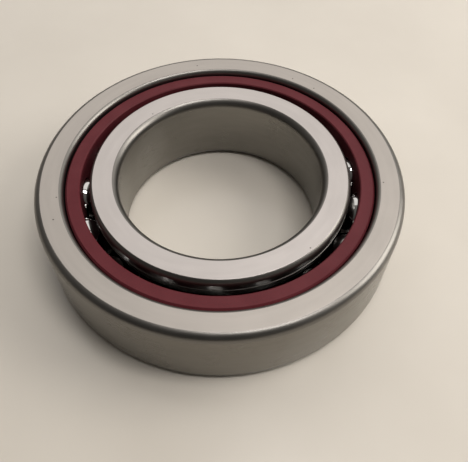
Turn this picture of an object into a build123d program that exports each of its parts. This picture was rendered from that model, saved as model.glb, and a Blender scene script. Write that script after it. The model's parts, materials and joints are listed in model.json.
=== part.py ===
"""Single-row angular contact ball bearing, 50 x 90 x 20 mm, with a one-piece outer-ring-guided cage.

Frame: +Z is the bearing axis and the origin is the centre of the lower side face, so the bearing
lies on the plane z = 0. The wide face of the outer ring is the upper one. Lengths are millimetres.
"""

import os
from math import cos, radians, sin, sqrt

from build123d import *

# --- driving dimensions: boundary -----------------------------------------------------------------
bore_diameter = 50.0
outside_diameter = 90.0
ring_width = 20.0

# --- driving dimensions: balls and raceways -------------------------------------------------------
ball_count = 17
ball_diameter = 10.319
pitch_diameter = 70.0
contact_angle = 25.0
groove_ratio = 0.52
running_gap = 0.05

# --- driving dimensions: ring lands, edges and corners --------------------------------------------
inner_land_diameter = 63.9
outer_land_diameter = 76.1
lip_diameter = 80.0
counterbore_diameter = 81.2
corner_axial = 2.0
bore_corner_radial = 1.35
outside_corner_radial = 1.7
land_edge_radial = 0.9
land_edge_axial = 1.2
inner_edge_radial = 0.9
inner_edge_axial = 1.6
relief_depth = 0.5
relief_start = 3.3
step_depth = 0.12
step_rise = 0.05
small_edge = 0.3
groove_edge_radius = 0.15
point_tolerance = 1e-6

# --- driving dimensions: cage ---------------------------------------------------------------------
cage_inner_diameter = 68.5
cage_outer_diameter = 75.4
cage_width = 17.6
pocket_clearance = 0.3
cage_outer_edge = 0.45
cage_inner_edge = 0.25

# --- derived values -------------------------------------------------------------------------------
ball_step = 360 / ball_count
first_ball_angle = ball_step / 2
ball_radius = ball_diameter / 2
pitch_radius = pitch_diameter / 2
mid_plane = ring_width / 2
bore_radius = bore_diameter / 2
outside_radius = outside_diameter / 2
inner_land = inner_land_diameter / 2
outer_land = outer_land_diameter / 2
lip_radius = lip_diameter / 2
counterbore_radius = counterbore_diameter / 2
groove_radius = groove_ratio * ball_diameter
groove_offset = groove_radius - ball_radius - running_gap
contact_r = cos(radians(contact_angle))
contact_z = sin(radians(contact_angle))

# The contact line runs from the lower side of the inner groove to the upper side of the outer one.
inner_groove_centre = (pitch_radius + groove_offset * contact_r, mid_plane + groove_offset * contact_z)
outer_groove_centre = (pitch_radius - groove_offset * contact_r, mid_plane - groove_offset * contact_z)

os.makedirs("parts", exist_ok=True)


def groove_half_width(centre, radius):
    """Half the width of a groove, measured where its arc reaches the given radius from the axis."""
    return sqrt(groove_radius**2 - (radius - centre[0]) ** 2)


def save(piece, name):
    """Labels a finished piece and writes it as its own STEP file."""
    piece.part.label = name
    export_step(piece.part, f"parts/{name}.step")


def make_inner_ring():
    """Ring with the bore and one groove; its upper land ends in a fine step and a conical relief."""
    top = ring_width
    relief_radius = inner_land - relief_depth
    groove_low = inner_groove_centre[1] - groove_half_width(inner_groove_centre, inner_land)
    groove_high = inner_groove_centre[1] + groove_half_width(inner_groove_centre, relief_radius)
    groove_bottom = (inner_groove_centre[0] - groove_radius, inner_groove_centre[1])
    face_inner = bore_radius + bore_corner_radial
    face_outer = inner_land - inner_edge_radial

    with BuildPart() as ring:
        with BuildSketch(Plane.XZ) as profile:
            with BuildLine():
                Line((bore_radius, corner_axial), (bore_radius, top - corner_axial))
                TangentArc((bore_radius, top - corner_axial), (face_inner, top), tangent=(0, 1))
                Line((face_inner, top), (face_outer, top))
                TangentArc((inner_land, top - inner_edge_axial), (face_outer, top), tangent=(0, 1))
                Polyline(
                    (inner_land, top - inner_edge_axial),
                    (inner_land - step_depth, top - relief_start + step_rise),
                    (inner_land, top - relief_start),
                    (relief_radius, groove_high),
                )
                ThreePointArc((relief_radius, groove_high), groove_bottom, (inner_land, groove_low))
                Line((inner_land, groove_low), (inner_land, inner_edge_axial))
                TangentArc((inner_land, inner_edge_axial), (face_outer, 0), tangent=(0, -1))
                Line((face_outer, 0), (face_inner, 0))
                TangentArc((bore_radius, corner_axial), (face_inner, 0), tangent=(0, -1))
            make_face()
            groove_edges = [
                corner
                for corner in profile.vertices()
                if corner.X > relief_radius - point_tolerance
                and groove_low - point_tolerance < corner.Y < groove_high + point_tolerance
            ]
            fillet(groove_edges, radius=groove_edge_radius)
        revolve(axis=Axis.Z)
    return ring


def make_outer_ring():
    """Ring with a high land above its groove, and a snap lip and a relieved bore below it."""
    top = ring_width
    groove_high = outer_groove_centre[1] + groove_half_width(outer_groove_centre, outer_land)
    groove_low = outer_groove_centre[1] - groove_half_width(outer_groove_centre, lip_radius)
    groove_bottom = (outer_groove_centre[0] + groove_radius, outer_groove_centre[1])
    face_outer = outside_radius - outside_corner_radial
    face_inner = outer_land + land_edge_radial
    lower_face_inner = counterbore_radius + small_edge

    with BuildPart() as ring:
        with BuildSketch(Plane.XZ) as profile:
            with BuildLine():
                Line((outside_radius, corner_axial), (outside_radius, top - corner_axial))
                TangentArc((outside_radius, top - corner_axial), (face_outer, top), tangent=(0, 1))
                Line((face_outer, top), (face_inner, top))
                TangentArc((outer_land, top - land_edge_axial), (face_inner, top), tangent=(0, 1))
                Line((outer_land, top - land_edge_axial), (outer_land, groove_high))
                ThreePointArc((outer_land, groove_high), groove_bottom, (lip_radius, groove_low))
                Polyline(
                    (lip_radius, groove_low),
                    (counterbore_radius, small_edge),
                    (lower_face_inner, 0),
                    (face_outer, 0),
                )
                TangentArc((outside_radius, corner_axial), (face_outer, 0), tangent=(0, -1))
            make_face()
            groove_edge = [
                corner
                for corner in profile.vertices()
                if abs(corner.X - outer_land) < point_tolerance
                and corner.Y < groove_high + point_tolerance
            ]
            fillet(groove_edge, radius=groove_edge_radius)
        revolve(axis=Axis.Z)
    return ring


def ball_angles():
    """Angle of each ball around the axis, in degrees."""
    return [first_ball_angle + index * ball_step for index in range(ball_count)]


def make_cage():
    """Straight ring with one round pocket drilled radially for each ball."""
    inner = cage_inner_diameter / 2
    outer = cage_outer_diameter / 2
    low = mid_plane - cage_width / 2
    high = mid_plane + cage_width / 2
    drill_start = inner - 1
    drill_length = outer - inner + 2
    pocket_planes = [
        Plane(
            origin=(drill_start * cos(radians(a)), drill_start * sin(radians(a)), mid_plane),
            z_dir=(cos(radians(a)), sin(radians(a)), 0),
        )
        for a in ball_angles()
    ]

    with BuildPart() as cage:
        with BuildSketch(Plane.XZ):
            with BuildLine():
                Polyline(
                    (inner + cage_inner_edge, low),
                    (outer - cage_outer_edge, low),
                    (outer, low + cage_outer_edge),
                    (outer, high - cage_outer_edge),
                    (outer - cage_outer_edge, high),
                    (inner + cage_inner_edge, high),
                    (inner, high - cage_inner_edge),
                    (inner, low + cage_inner_edge),
                    close=True,
                )
            make_face()
        revolve(axis=Axis.Z)
        with Locations(*pocket_planes):
            Cylinder(
                radius=(ball_diameter + pocket_clearance) / 2,
                height=drill_length,
                align=(Align.CENTER, Align.CENTER, Align.MIN),
                mode=Mode.SUBTRACT,
            )
    return cage


def make_ball(angle):
    """Ball at the given angle, with its poles on the axis that it rolls about."""
    a = radians(angle)
    spin_axis = (-contact_z * cos(a), -contact_z * sin(a), contact_r)
    centre = (pitch_radius * cos(a), pitch_radius * sin(a), mid_plane)
    with BuildPart(Plane(origin=centre, z_dir=spin_axis)) as ball:
        Sphere(radius=ball_radius)
    return ball


save(make_inner_ring(), "inner_ring")
save(make_outer_ring(), "outer_ring")
save(make_cage(), "cage")
for number, angle in enumerate(ball_angles(), start=1):
    save(make_ball(angle), f"ball_{number:02d}")
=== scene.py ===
"""Angular contact ball bearing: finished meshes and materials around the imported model.

Lengths in this script are millimetres until a mesh or a light is made, and MM turns them into metres.
"""

import json
import math

import bmesh
import bpy
from mathutils import Matrix, Vector


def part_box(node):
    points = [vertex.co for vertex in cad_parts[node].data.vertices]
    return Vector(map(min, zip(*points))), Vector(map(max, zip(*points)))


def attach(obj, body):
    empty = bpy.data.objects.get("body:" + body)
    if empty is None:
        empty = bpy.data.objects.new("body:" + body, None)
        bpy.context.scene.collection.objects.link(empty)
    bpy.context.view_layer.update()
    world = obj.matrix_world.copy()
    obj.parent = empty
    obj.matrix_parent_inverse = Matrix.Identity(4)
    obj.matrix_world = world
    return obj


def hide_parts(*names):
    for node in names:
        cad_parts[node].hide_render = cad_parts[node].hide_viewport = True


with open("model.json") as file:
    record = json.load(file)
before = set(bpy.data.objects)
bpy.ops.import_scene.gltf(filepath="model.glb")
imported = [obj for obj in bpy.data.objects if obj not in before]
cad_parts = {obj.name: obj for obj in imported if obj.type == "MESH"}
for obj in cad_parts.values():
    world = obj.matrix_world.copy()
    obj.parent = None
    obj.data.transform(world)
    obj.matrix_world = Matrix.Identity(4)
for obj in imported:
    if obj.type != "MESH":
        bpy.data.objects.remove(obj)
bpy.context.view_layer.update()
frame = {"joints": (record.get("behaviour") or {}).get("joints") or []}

MM = 0.001

# --- sizes read from the frame --------------------------------------------------------------------
ring_low, ring_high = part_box("outer_ring")
cage_low, cage_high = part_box("cage")
inner_low, inner_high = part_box("inner_ring")
ball_low, ball_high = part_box("ball_01")
OUTSIDE_R = ring_high.x / MM
WIDTH = ring_high.z / MM
INNER_LAND_R = inner_high.x / MM
CAGE_OUTER_R = cage_high.x / MM
CAGE_TOP = cage_high.z / MM
CAGE_BOTTOM = cage_low.z / MM
BALL_R = (ball_high.z - ball_low.z) / MM / 2
MID = WIDTH / 2

# --- sizes of the details, as in the CAD model ----------------------------------------------------
BORE_R = 25.0
PITCH_R = 35.0
CONTACT_ANGLE = math.radians(25)
GROOVE_R = 1.04 * BALL_R
RUNNING_GAP = 0.05
CORNER_AXIAL = 2.0
BORE_CORNER_RADIAL = 1.35
OUTSIDE_CORNER_RADIAL = 1.7
SMALL_EDGE = 0.3
OUTER_LAND_R = 38.05
LAND_EDGE_RADIAL = 0.9
LAND_EDGE_AXIAL = 1.2
LIP_R = 40.0
COUNTERBORE_R = 40.6
INNER_EDGE_RADIAL = 0.9
INNER_EDGE_AXIAL = 1.6
RELIEF_DEPTH = 0.5
RELIEF_START = 3.3
STEP_DEPTH = 0.12
STEP_RISE = 0.05
CAGE_INNER_R = 34.25
CAGE_OUTER_EDGE = 0.45
CAGE_INNER_EDGE = 0.25
POCKET_R = BALL_R + 0.15
POCKET_EDGE = 0.12

# --- mesh density ---------------------------------------------------------------------------------
RING_SEGMENTS = 384
ARC_STEPS = 12
GROOVE_STEPS = 28
EDGE_ROUND = 0.12
BALL_SUBDIVISIONS = 5
SHARP_ANGLE = math.radians(18)

# --- the surfaces a turned and ground ring has ----------------------------------------------------
FACE, CORNER, CYLINDER, LAND, RACEWAY = range(5)


# ==================================================================================================
# Meshes
# ==================================================================================================
def finish_mesh(name, builder, materials):
    """Turns a bmesh in millimetres into a smooth-shaded object in metres."""
    bmesh.ops.scale(builder, vec=(MM, MM, MM), verts=builder.verts)
    bmesh.ops.recalc_face_normals(builder, faces=builder.faces)
    mesh = bpy.data.meshes.new(name)
    builder.to_mesh(mesh)
    builder.free()
    for material in materials:
        mesh.materials.append(material)
    mesh.polygons.foreach_set("use_smooth", [True] * len(mesh.polygons))
    mesh.set_sharp_from_angle(angle=SHARP_ANGLE)
    piece = bpy.data.objects.new(name, mesh)
    bpy.context.scene.collection.objects.link(piece)
    return piece


def tangent_arc(start, end, finish):
    """Arc that leaves start along the axis and runs to end, as a turned corner does."""
    radial = end[0] - start[0]
    axial = end[1] - start[1]
    radius = (radial**2 + axial**2) / (2 * abs(radial))
    sweep = math.asin(abs(axial) / radius)
    points = []
    for step in range(ARC_STEPS):
        angle = sweep * step / ARC_STEPS
        r = start[0] + math.copysign(radius * (1 - math.cos(angle)), radial)
        z = start[1] + math.copysign(radius * math.sin(angle), axial)
        points.append((r, z, finish))
    return points


def groove_arc(centre, start, end, finish):
    """Arc about the groove's centre from one side of the raceway to the other, through its bottom."""
    first = math.atan2(start[1] - centre[1], start[0] - centre[0])
    last = math.atan2(end[1] - centre[1], end[0] - centre[0])
    if centre[0] > start[0]:
        first = first % (2 * math.pi)
        last = last % (2 * math.pi)
    points = []
    for step in range(GROOVE_STEPS):
        angle = first + (last - first) * step / GROOVE_STEPS
        r = centre[0] + GROOVE_R * math.cos(angle)
        z = centre[1] + GROOVE_R * math.sin(angle)
        points.append((r, z, finish))
    return points


def soften(profile):
    """Breaks every sharp corner of a closed profile with a tiny round, and adds holding points."""
    points = []
    count = len(profile)
    for index, (r, z, finish) in enumerate(profile):
        here = Vector((r, z))
        before = Vector(profile[index - 1][:2]) - here
        after = Vector(profile[(index + 1) % count][:2]) - here
        turn = math.pi - before.angle(after)
        reach = min(EDGE_ROUND, before.length * 0.3, after.length * 0.3)
        if turn < math.radians(12):
            points.append((r, z, finish))
            continue
        back = before.normalized() * reach
        on = after.normalized() * reach
        last_finish = profile[index - 1][2]
        points.append((*(here + back * 2), last_finish))
        points.append((*(here + back), last_finish))
        points.append((*(here + (back + on) * 0.25), finish))
        points.append((*(here + on), finish))
        points.append((*(here + on * 2), finish))
    return points


def lathe(name, profile, materials):
    """Revolves a closed profile of (radius, height, finish) about the bearing axis."""
    builder = bmesh.new()
    profile = soften(profile)
    rings = []
    for segment in range(RING_SEGMENTS):
        angle = 2 * math.pi * segment / RING_SEGMENTS
        c, s = math.cos(angle), math.sin(angle)
        rings.append([builder.verts.new((r * c, r * s, z)) for r, z, _ in profile])
    count = len(profile)
    for segment, ring in enumerate(rings):
        following = rings[(segment + 1) % RING_SEGMENTS]
        for index in range(count):
            after = (index + 1) % count
            face = builder.faces.new((ring[index], following[index], following[after], ring[after]))
            face.material_index = profile[index][2]
    return finish_mesh(name, builder, materials)


def groove_height(centre, radius):
    """Half the groove's width where its arc reaches the given radius from the axis."""
    return math.sqrt(GROOVE_R**2 - (radius - centre[0]) ** 2)


def make_inner_ring(materials):
    """Inner ring: bore, corners, faces, lands, a shallow relief and the groove."""
    offset = GROOVE_R - BALL_R - RUNNING_GAP
    centre = (PITCH_R + offset * math.cos(CONTACT_ANGLE), MID + offset * math.sin(CONTACT_ANGLE))
    relief_r = INNER_LAND_R - RELIEF_DEPTH
    high = centre[1] + groove_height(centre, relief_r)
    low = centre[1] - groove_height(centre, INNER_LAND_R)
    face_in = BORE_R + BORE_CORNER_RADIAL
    face_out = INNER_LAND_R - INNER_EDGE_RADIAL
    profile = [(BORE_R, CORNER_AXIAL, CYLINDER)]
    profile += tangent_arc((BORE_R, WIDTH - CORNER_AXIAL), (face_in, WIDTH), CORNER)
    profile += [(face_in, WIDTH, FACE), (face_out, WIDTH, CORNER)]
    edge = tangent_arc((INNER_LAND_R, WIDTH - INNER_EDGE_AXIAL), (face_out, WIDTH), CORNER)
    profile += [(r, z, CORNER) for r, z, _ in reversed(edge[1:])]
    profile += [
        (INNER_LAND_R, WIDTH - INNER_EDGE_AXIAL, LAND),
        (INNER_LAND_R - STEP_DEPTH, WIDTH - RELIEF_START + STEP_RISE, CORNER),
        (INNER_LAND_R, WIDTH - RELIEF_START, LAND),
    ]
    profile += groove_arc(centre, (relief_r, high), (INNER_LAND_R, low), RACEWAY)
    profile += [(INNER_LAND_R, low, LAND)]
    profile += tangent_arc((INNER_LAND_R, INNER_EDGE_AXIAL), (face_out, 0), CORNER)
    profile += [(face_out, 0, FACE), (face_in, 0, CORNER)]
    corner = tangent_arc((BORE_R, CORNER_AXIAL), (face_in, 0), CORNER)
    profile += [(r, z, CORNER) for r, z, _ in reversed(corner[1:])]
    return lathe("inner_ring_ground", profile, materials)


def make_outer_ring(materials):
    """Outer ring: high land, bevel, faces, corners, snap lip and relieved lower bore."""
    offset = GROOVE_R - BALL_R - RUNNING_GAP
    centre = (PITCH_R - offset * math.cos(CONTACT_ANGLE), MID - offset * math.sin(CONTACT_ANGLE))
    high = centre[1] + groove_height(centre, OUTER_LAND_R)
    low = centre[1] - groove_height(centre, LIP_R)
    face_out = OUTSIDE_R - OUTSIDE_CORNER_RADIAL
    face_in = OUTER_LAND_R + LAND_EDGE_RADIAL
    lower_face_in = COUNTERBORE_R + SMALL_EDGE
    profile = [(OUTSIDE_R, CORNER_AXIAL, CYLINDER)]
    profile += tangent_arc((OUTSIDE_R, WIDTH - CORNER_AXIAL), (face_out, WIDTH), CORNER)
    profile += [(face_out, WIDTH, FACE), (face_in, WIDTH, CORNER)]
    bevel = tangent_arc((OUTER_LAND_R, WIDTH - LAND_EDGE_AXIAL), (face_in, WIDTH), CORNER)
    profile += [(r, z, CORNER) for r, z, _ in reversed(bevel[1:])]
    profile += [(OUTER_LAND_R, WIDTH - LAND_EDGE_AXIAL, LAND)]
    profile += groove_arc(centre, (OUTER_LAND_R, high), (LIP_R, low), RACEWAY)
    profile += [
        (LIP_R, low, LAND),
        (COUNTERBORE_R, SMALL_EDGE, CORNER),
        (lower_face_in, 0, FACE),
        (face_out, 0, CORNER),
    ]
    corner = tangent_arc((OUTSIDE_R, CORNER_AXIAL), (face_out, 0), CORNER)
    profile += [(r, z, CORNER) for r, z, _ in reversed(corner[1:])]
    return lathe("outer_ring_ground", profile, materials)


# --- cage -----------------------------------------------------------------------------------------
CAGE_SIDE, CAGE_END, CAGE_POCKET = range(3)
EDGE_POINTS = 26
SIDE_POINTS = 30
WEB_LAYERS = 5


def sector_outline(half_angle, low, high):
    """Points (angle, height) around one pocket's share of the cage wall, from its lower left corner."""
    outline = []
    for step in range(EDGE_POINTS):
        outline.append((half_angle * (2 * step / EDGE_POINTS - 1), low))
    for step in range(SIDE_POINTS):
        outline.append((half_angle, low + (high - low) * step / SIDE_POINTS))
    for step in range(EDGE_POINTS):
        outline.append((half_angle * (1 - 2 * step / EDGE_POINTS), high))
    for step in range(SIDE_POINTS):
        outline.append((-half_angle, high + (low - high) * step / SIDE_POINTS))
    return outline


def pocket_turns(radius, half_angle, low, high):
    """Angle around the pocket of each outline point, so that corners face corners."""
    corner = math.atan2((high - low) / 2, radius * half_angle)
    marks = [math.pi + corner, 2 * math.pi - corner, 2 * math.pi + corner, 3 * math.pi - corner]
    marks.append(3 * math.pi + corner)
    turns = []
    for index, steps in enumerate((EDGE_POINTS, SIDE_POINTS, EDGE_POINTS, SIDE_POINTS)):
        for step in range(steps):
            turns.append(marks[index] + (marks[index + 1] - marks[index]) * step / steps)
    return turns


def pocket_point(radius, pocket_radius, turn, sink):
    """Point (angle, distance from axis, height) on the pocket's rim, moved inwards by sink."""
    across = pocket_radius * math.cos(turn)
    reach = math.sqrt(radius**2 - across**2) - sink
    return math.atan2(across, reach), math.hypot(across, reach), MID + pocket_radius * math.sin(turn)


def make_cage(ball_angles, materials):
    """One-piece cage: two cylindrical walls, bevelled ends and a round pocket for each ball."""
    builder = bmesh.new()
    half_angle = math.pi / len(ball_angles)
    walls = (
        (CAGE_OUTER_R, CAGE_OUTER_EDGE, POCKET_EDGE),
        (CAGE_INNER_R, CAGE_INNER_EDGE, -POCKET_EDGE),
    )

    def vertex(angle, radius, height):
        return builder.verts.new((radius * math.cos(angle), radius * math.sin(angle), height))

    def bridge(first, second, finish):
        for index in range(len(first)):
            after = (index + 1) % len(first)
            face = builder.faces.new((first[index], first[after], second[after], second[index]))
            face.material_index = finish

    for centre_angle in ball_angles:
        rims = []
        for radius, edge, sink in walls:
            low = CAGE_BOTTOM + edge
            high = CAGE_TOP - edge
            outline = sector_outline(half_angle, low, high)
            turns = pocket_turns(radius, half_angle, low, high)
            rim = [pocket_point(radius, POCKET_R + POCKET_EDGE, turn, 0) for turn in turns]
            loops = []
            for layer in range(WEB_LAYERS + 1):
                share = layer / WEB_LAYERS
                loop = []
                for (a0, _, z0), (a1, z1) in zip(rim, outline):
                    angle = a0 + (a1 - a0) * share
                    loop.append(vertex(centre_angle + angle, radius, z0 + (z1 - z0) * share))
                loops.append(loop)
            for inner, outer in zip(loops, loops[1:]):
                bridge(inner, outer, CAGE_SIDE)
            throat = []
            for turn in turns:
                angle, distance, height = pocket_point(radius, POCKET_R, turn, sink)
                throat.append(vertex(centre_angle + angle, distance, height))
            bridge(loops[0], throat, CAGE_POCKET)
            rims.append(throat)
        bridge(rims[0], rims[1], CAGE_POCKET)

    end_profile = (
        (CAGE_OUTER_R, CAGE_OUTER_EDGE, CAGE_SIDE),
        (CAGE_OUTER_R - CAGE_OUTER_EDGE, 0, CAGE_END),
        (CAGE_OUTER_R - CAGE_OUTER_EDGE - 0.1, 0, CAGE_END),
        (CAGE_INNER_R + CAGE_INNER_EDGE + 0.1, 0, CAGE_END),
        (CAGE_INNER_R + CAGE_INNER_EDGE, 0, CAGE_SIDE),
        (CAGE_INNER_R, CAGE_INNER_EDGE, CAGE_SIDE),
    )
    around = [
        centre + half_angle * (2 * step / EDGE_POINTS - 1)
        for centre in ball_angles
        for step in range(EDGE_POINTS)
    ]
    for plane, direction in ((CAGE_TOP, -1), (CAGE_BOTTOM, 1)):
        rings = [[vertex(a, r, plane + direction * depth) for a in around] for r, depth, _ in end_profile]
        for index in range(len(rings) - 1):
            bridge(rings[index], rings[index + 1], end_profile[index][2])
    bmesh.ops.remove_doubles(builder, verts=builder.verts, dist=0.0005)
    return finish_mesh("cage_laminate", builder, materials)


# --- balls ----------------------------------------------------------------------------------------
def make_ball_mesh(material):
    """Ball mesh with its poles on the local Z axis, which each ball turns towards its rolling axis."""
    builder = bmesh.new()
    bmesh.ops.create_icosphere(builder, subdivisions=BALL_SUBDIVISIONS, radius=BALL_R * MM)
    mesh = bpy.data.meshes.new("ball_lapped")
    builder.to_mesh(mesh)
    builder.free()
    mesh.materials.append(material)
    mesh.polygons.foreach_set("use_smooth", [True] * len(mesh.polygons))
    return mesh


# ==================================================================================================
# Materials
# ==================================================================================================
class Shader:
    """A material under construction: thin wrappers that add nodes and link them."""

    def __init__(self, name, color, roughness, metallic):
        self.material = bpy.data.materials.new(name)
        self.material.use_nodes = True
        self.tree = self.material.node_tree
        self.surface = self.tree.nodes["Principled BSDF"]
        self.surface.inputs["Base Color"].default_value = (*color, 1)
        self.surface.inputs["Roughness"].default_value = roughness
        self.surface.inputs["Metallic"].default_value = metallic
        place = self.tree.nodes.new("ShaderNodeTexCoord").outputs["Object"]
        split = self.tree.nodes.new("ShaderNodeSeparateXYZ")
        self.link(place, split.inputs[0])
        self.place = place
        self.x, self.y, self.z = split.outputs

    def link(self, source, target):
        self.tree.links.new(source, target)

    def feed(self, socket, value):
        if isinstance(value, (int, float)):
            socket.default_value = value
        else:
            self.link(value, socket)

    def math(self, operation, first, second=0.0):
        node = self.tree.nodes.new("ShaderNodeMath")
        node.operation = operation
        self.feed(node.inputs[0], first)
        self.feed(node.inputs[1], second)
        return node.outputs[0]

    def vector(self, x, y, z):
        node = self.tree.nodes.new("ShaderNodeCombineXYZ")
        for socket, value in zip(node.inputs, (x, y, z)):
            self.feed(socket, value)
        return node.outputs[0]

    def noise(self, vector, scale, detail=2.0, rough=0.5):
        node = self.tree.nodes.new("ShaderNodeTexNoise")
        self.link(vector, node.inputs["Vector"])
        node.inputs["Scale"].default_value = scale
        node.inputs["Detail"].default_value = detail
        node.inputs["Roughness"].default_value = rough
        return node.outputs["Fac"]

    def remap(self, value, low, high, to_low, to_high):
        node = self.tree.nodes.new("ShaderNodeMapRange")
        self.feed(node.inputs["Value"], value)
        for socket, number in zip(("From Min", "From Max", "To Min", "To Max"), (low, high, to_low, to_high)):
            node.inputs[socket].default_value = number
        return node.outputs["Result"]

    def mix(self, factor, first, second):
        node = self.tree.nodes.new("ShaderNodeMix")
        node.data_type = "RGBA"
        self.feed(node.inputs[0], factor)
        for socket, value in zip((node.inputs[6], node.inputs[7]), (first, second)):
            if isinstance(value, tuple):
                socket.default_value = (*value, 1)
            else:
                self.link(value, socket)
        return node.outputs[2]

    def bump(self, height, distance, strength=1.0):
        node = self.tree.nodes.new("ShaderNodeBump")
        node.inputs["Strength"].default_value = strength
        node.inputs["Distance"].default_value = distance
        self.link(height, node.inputs["Height"])
        self.link(node.outputs["Normal"], self.surface.inputs["Normal"])

    def radius(self):
        squares = self.math("ADD", self.math("MULTIPLY", self.x, self.x), self.math("MULTIPLY", self.y, self.y))
        return self.math("SQRT", squares)

    def around(self, along, slow, fast):
        """Coordinates that change slowly around the axis and fast across it, for a circular lay."""
        radius = self.radius()
        c = self.math("MULTIPLY", self.math("DIVIDE", self.x, radius), slow)
        s = self.math("MULTIPLY", self.math("DIVIDE", self.y, radius), slow)
        return self.vector(c, s, self.math("MULTIPLY", along, fast))

    def specks(self, spacing, size, share):
        """Mask of sparse round marks: one in some cells of the given spacing, in metres."""
        node = self.tree.nodes.new("ShaderNodeTexVoronoi")
        node.voronoi_dimensions = "2D"
        node.inputs["Scale"].default_value = 1 / spacing
        self.link(self.place, node.inputs["Vector"])
        near = self.math("LESS_THAN", node.outputs["Distance"], size / spacing)
        split = self.tree.nodes.new("ShaderNodeSeparateColor")
        self.link(node.outputs["Color"], split.inputs[0])
        chosen = self.math("LESS_THAN", split.outputs[0], share)
        return self.math("MULTIPLY", near, chosen)


def steel(name, color, roughness, spread, lay, bump, marks=0.0, metallic=1.0):
    """Bearing steel with a circular lay across the radius (lay 'r') or along the axis (lay 'z')."""
    shader = Shader(name, color, roughness, metallic)
    across = shader.radius() if lay == "r" else shader.z
    fine = shader.noise(shader.around(across, 9.0, 9000.0), 1.0, 3.0, 0.6)
    broad = shader.noise(shader.around(across, 3.0, 700.0), 1.0, 2.0)
    cloud = shader.noise(shader.place, 90.0, 3.0)
    dark = tuple(channel * 0.93 for channel in color)
    light = tuple(min(1.0, channel * 1.05) for channel in color)
    tone = shader.math("ADD", shader.math("MULTIPLY", broad, 0.5), shader.math("MULTIPLY", cloud, 0.5))
    base = shader.mix(shader.remap(tone, 0.3, 0.7, 0.0, 1.0), dark, light)
    if marks:
        mask = shader.specks(0.0065, 0.00016, marks)
        base = shader.mix(mask, base, tuple(channel * 0.12 for channel in color))
    shader.link(base, shader.surface.inputs["Base Color"])
    rough = shader.math("ADD", shader.math("MULTIPLY", fine, 0.5), shader.math("MULTIPLY", cloud, 0.5))
    shader.link(
        shader.remap(rough, 0.3, 0.7, roughness - spread, roughness + spread),
        shader.surface.inputs["Roughness"],
    )
    shader.bump(fine, bump * MM)
    return shader.material


def laminate(name, lay):
    """Maroon cloth laminate: threads on the walls (lay 'wall'), wound layers on the ends (lay 'end')."""
    shader = Shader(name, (0.12, 0.016, 0.021), 0.6, 0.0)
    shader.surface.inputs["Specular IOR Level"].default_value = 0.25
    turn = shader.math("ARCTAN2", shader.y, shader.x)
    if lay == "wall":
        warp = shader.math("SINE", shader.math("MULTIPLY", turn, 560.0))
        weft = shader.math("SINE", shader.math("MULTIPLY", shader.z, 15700.0))
    else:
        warp = shader.math("SINE", shader.math("MULTIPLY", turn, 560.0))
        weft = shader.math("SINE", shader.math("MULTIPLY", shader.radius(), 21000.0))
    threads = shader.remap(shader.math("MULTIPLY", warp, weft), -1.0, 1.0, 0.0, 1.0)
    grain = shader.noise(shader.place, 2600.0, 3.0, 0.6)
    cloud = shader.noise(shader.place, 160.0, 3.0)
    tone = shader.math("ADD", shader.math("MULTIPLY", threads, 0.35), shader.math("MULTIPLY", grain, 0.65))
    cloth = shader.mix(shader.remap(tone, 0.25, 0.75, 0.0, 1.0), (0.076, 0.0085, 0.0135), (0.134, 0.018, 0.025))
    worn = shader.mix(shader.remap(cloud, 0.35, 0.7, 0.0, 0.4), cloth, (0.146, 0.027, 0.034))
    shader.link(worn, shader.surface.inputs["Base Color"])
    shader.link(shader.remap(grain, 0.3, 0.7, 0.52, 0.7), shader.surface.inputs["Roughness"])
    shader.bump(tone, 0.012 * MM, 0.6)
    return shader.material


def ball_steel():
    """Lapped ball: a mirror with a barely hazy rolling band around its middle."""
    shader = Shader("ball_steel", (0.66, 0.66, 0.66), 0.05, 1.0)
    haze = shader.noise(shader.place, 700.0, 3.0)
    band = shader.math("ABSOLUTE", shader.math("MULTIPLY", shader.z, 1 / (BALL_R * MM)))
    inside = shader.remap(band, 0.05, 0.22, 1.0, 0.0)
    rough = shader.math("ADD", shader.math("MULTIPLY", haze, 0.05), shader.math("MULTIPLY", inside, 0.03))
    shader.link(shader.math("ADD", rough, 0.02), shader.surface.inputs["Roughness"])
    tone = shader.mix(haze, (0.54, 0.535, 0.53), (0.62, 0.615, 0.61))
    shader.link(tone, shader.surface.inputs["Base Color"])
    shader.bump(haze, 0.0004 * MM)
    return shader.material


def table_top():
    """Pale polished table with a faint cloudy tone."""
    shader = Shader("table_top", (0.78, 0.72, 0.64), 0.22, 0.0)
    cloud = shader.noise(shader.place, 18.0, 4.0)
    tone = shader.mix(shader.remap(cloud, 0.3, 0.7, 0.0, 1.0), (0.66, 0.612, 0.545), (0.72, 0.672, 0.602))
    shader.link(tone, shader.surface.inputs["Base Color"])
    shader.link(shader.remap(cloud, 0.3, 0.7, 0.2, 0.27), shader.surface.inputs["Roughness"])
    return shader.material


# ==================================================================================================
# The bearing
# ==================================================================================================
# The corners' dark base colour is partly their turned finish and partly painted shade for the dark room they
# mirror.
corner_finish_and_shade = steel("steel_corner_and_shade", (0.21, 0.2, 0.187), 0.36, 0.06, "z", 0.0008)
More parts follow.
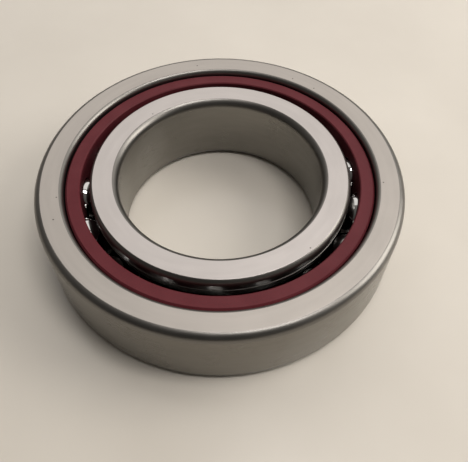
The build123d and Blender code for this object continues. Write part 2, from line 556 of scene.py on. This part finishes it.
# The lands' very dark base colour is painted shade for the gap between the rings, and partly their turned
# finish.
land_finish_and_shade = steel("steel_land_and_shade", (0.15, 0.146, 0.14), 0.38, 0.05, "z", 0.0006)
raceway_finish = steel("steel_raceway", (0.4, 0.4, 0.395), 0.1, 0.02, "z", 0.0002)
outer_finishes = [
    steel("outer_face", (0.445, 0.411, 0.382), 0.38, 0.04, "r", 0.0005, marks=0.2),
    corner_finish_and_shade,
    # The outside's dark base colour is painted shade for the shadowed table it mirrors near its foot; its
    # ground lay is real.
    steel("outside_ground_and_shade", (0.218, 0.203, 0.177), 0.29, 0.05, "z", 0.0008, metallic=0.8),
    land_finish_and_shade,
    raceway_finish,
]
inner_finishes = [
    steel("inner_face", (0.53, 0.494, 0.479), 0.38, 0.04, "r", 0.0005, marks=0.3),
    corner_finish_and_shade,
    # The bore's dark base colour is painted shade for the inside of the hole; its ground lay is real.
    steel("bore_ground_and_shade", (0.26, 0.25, 0.228), 0.3, 0.05, "z", 0.0006),
    land_finish_and_shade,
    raceway_finish,
]
cage_finishes = [laminate("cage_wall", "wall"), laminate("cage_end", "end"), laminate("cage_pocket", "wall")]

ball_joints = [joint for joint in frame["joints"] if joint["child"].startswith("ball_")]
ball_angles = [math.atan2(joint["pos_m"][1], joint["pos_m"][0]) for joint in ball_joints]

for piece, body, slot in (
    (make_outer_ring(outer_finishes), "outer_ring", "ring_steel"),
    (make_inner_ring(inner_finishes), "inner_ring", "ring_steel"),
    (make_cage(ball_angles, cage_finishes), "cage", "cage_laminate"),
):
    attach(piece, body)
    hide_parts(body)

ball_mesh = make_ball_mesh(ball_steel())
for joint in ball_joints:
    ball = bpy.data.objects.new(joint["child"] + "_lapped", ball_mesh)
    bpy.context.scene.collection.objects.link(ball)
    turn = Vector(joint["axis"]).to_track_quat("Z", "Y").to_matrix().to_4x4()
    ball.matrix_world = Matrix.Translation(joint["pos_m"]) @ turn
    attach(ball, joint["child"])
    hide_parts(joint["child"])


# ==================================================================================================
# Table, lights and camera
# ==================================================================================================
def make_table():
    """Flat table top under the bearing."""
    builder = bmesh.new()
    bmesh.ops.create_grid(builder, x_segments=8, y_segments=8, size=2.0)
    mesh = bpy.data.meshes.new("table")
    builder.to_mesh(mesh)
    builder.free()
    mesh.materials.append(table_top())
    table = bpy.data.objects.new("table", mesh)
    bpy.context.scene.collection.objects.link(table)


def aim(thing, target, roll=0.0):
    """Turns a light or camera to face a point, then rolls it."""
    look = (Vector(target) - thing.location).to_track_quat("-Z", "Y")
    thing.rotation_euler = (look.to_matrix() @ Matrix.Rotation(roll, 3, "Z")).to_euler()


def soft_light(name, location, size, power, color):
    """Rectangular soft light that faces the bearing."""
    data = bpy.data.lights.new(name, "AREA")
    data.shape = "RECTANGLE"
    data.size, data.size_y = size
    data.energy = power
    data.color = color
    light = bpy.data.objects.new(name, data)
    light.location = location
    bpy.context.scene.collection.objects.link(light)
    aim(light, (0, 0, MID * MM))


def make_camera():
    """Camera above the front of the bearing, looking down into the gap between the rings."""
    data = bpy.data.cameras.new("camera")
    data.lens = 42.8
    data.sensor_width = 36.0
    data.clip_start = 0.005
    camera = bpy.data.objects.new("camera", data)
    camera.location = (0.0, -0.0921, 0.1214)
    bpy.context.scene.collection.objects.link(camera)
    aim(camera, (0.00342, -0.00387, 0.0), math.radians(1.0))
    bpy.context.scene.camera = camera


def make_room():
    """Even room light that is dimmest at the front left of the bearing."""
    world = bpy.data.worlds.new("room")
    world.use_nodes = True
    tree = world.node_tree
    background = tree.nodes["Background"]
    background.inputs["Color"].default_value = (0.3, 0.285, 0.265, 1)
    direction = tree.nodes.new("ShaderNodeTexCoord").outputs["Generated"]
    split = tree.nodes.new("ShaderNodeSeparateXYZ")
    tree.links.new(direction, split.inputs[0])
    slant = tree.nodes.new("ShaderNodeMath")
    slant.operation = "MULTIPLY_ADD"
    slant.inputs[1].default_value = 0.4
    tree.links.new(split.outputs[0], slant.inputs[0])
    tree.links.new(split.outputs[1], slant.inputs[2])
    ramp = tree.nodes.new("ShaderNodeMapRange")
    for socket, number in (("From Min", -0.9), ("From Max", 0.7), ("To Min", 0.2), ("To Max", 1.0)):
        ramp.inputs[socket].default_value = number
    tree.links.new(slant.outputs[0], ramp.inputs["Value"])
    tree.links.new(ramp.outputs["Result"], background.inputs["Strength"])
    bpy.context.scene.world = world


make_table()
soft_light("window_back", (0.14, 0.76, 0.84), (1.75, 1.25), 5.65, (1.0, 0.97, 0.93))
soft_light("window_right", (0.55, 0.05, 0.36), (0.4, 0.4), 2.45, (1.0, 0.96, 0.9))
soft_light("ceiling", (0.18, -0.06, 0.8), (0.2, 0.42), 2.35, (1.0, 0.97, 0.94))
make_camera()

make_room()
bpy.context.scene.view_settings.view_transform = "Standard"
